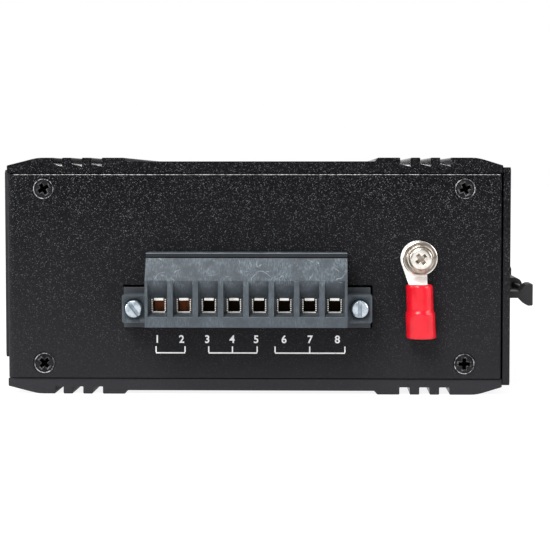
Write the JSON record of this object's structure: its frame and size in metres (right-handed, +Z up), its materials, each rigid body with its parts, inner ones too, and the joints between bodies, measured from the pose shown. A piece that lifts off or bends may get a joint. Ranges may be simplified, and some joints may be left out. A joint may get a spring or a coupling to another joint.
{
  "type": "din rail ethernet switch",
  "caption": "Slim finned metal network switch for a 35 mm rail, with a pluggable screw terminal, an earth screw and ports on its front.",
  "frame": {"origin": "middle of the overall box, at the height of the lower fins", "axes": "+Z up across the width of the device, which lies on one finned side; +X from the port front to the rail side; -Y is the terminal end"},
  "size_m": [0.1108, 0.1526, 0.0488],
  "materials": {
    "black_coat": "fine textured powder coat",
    "black_shell": "fine textured powder coat",
    "grey_plate": "satin dark grey",
    "black_screw": "black oxide",
    "clip_plastic": "black moulded nylon",
    "spring_steel": "drawn wire",
    "zinc": "zinc plated",
    "board_laminate": "solder mask",
    "nickel_brass": "nickel plated",
    "tin_steel": "tin plated sheet",
    "clear_guide": "clear moulded",
    "black_moulding": "moulded",
    "slate_header": "moulded",
    "slate_plug": "moulded, slightly scuffed",
    "tinned_pin": "tinned",
    "clamp_metal": "nickel plated",
    "contact_copper": "tarnished copper alloy",
    "tinned_copper": "bright tin",
    "red_sleeve": "soft vinyl",
    "chip_package": "moulded epoxy",
    "silicone_pad": "soft",
    "bare_aluminium": "sawn",
    "ferrite": "moulded ferrite",
    "relay_case": "moulded",
    "capacitor_can": "sleeved can"
  },
  "bodies": {
    "case": {"side_cover_upper": "black_coat", "side_cover_lower": "black_coat", "front_shell": "black_shell", "port_plate": "grey_plate", "rear_plate": "black_shell", "end_screws": "black_screw", "rear_plate_screws": "black_screw", "rail_clip": "clip_plastic", "latch_spring": "spring_steel", "clip_screws": "zinc", "circuit_board": "board_laminate", "board_standoffs": "nickel_brass", "board_screws": "zinc", "port_shield": "tin_steel", "port_module_1": "black_moulding", "port_module_2": "black_moulding", "port_module_3": "black_moulding", "port_module_4": "black_moulding", "module_cage_1": "tin_steel", "module_cage_2": "tin_steel", "light_guides": "clear_guide", "lamp_holder": "black_moulding", "terminal_header": "slate_header", "header_nuts": "zinc", "header_pins": "tinned_pin", "plug_housing": "slate_plug", "plug_clamps": "clamp_metal", "plug_contacts": "contact_copper", "plug_clamp_screws": "zinc", "plug_flange_screws": "zinc", "earth_screw": "zinc", "earth_lock_washer": "zinc", "earth_flat_washer": "zinc", "ring_terminal": "tinned_copper", "ring_sleeve": "red_sleeve", "earth_nut": "zinc", "switch_chip": "chip_package", "heat_pad": "silicone_pad", "heat_block": "bare_aluminium", "line_transformers": "chip_package", "isolating_transformer": "ferrite", "alarm_relay": "relay_case", "power_inductor": "ferrite", "capacitors": "capacitor_can"},
    "latch": {"rail_latch": "clip_plastic"}
  },
  "joints": [
    {"name": "latch_slide", "type": "slide", "parent": "case", "child": "latch", "axis": [0, -1, 0], "range_m": [0, 0.004], "stiffness_N_per_m": 600, "springref_m": -0.003, "deforming": ["latch_spring"]}
  ]
}
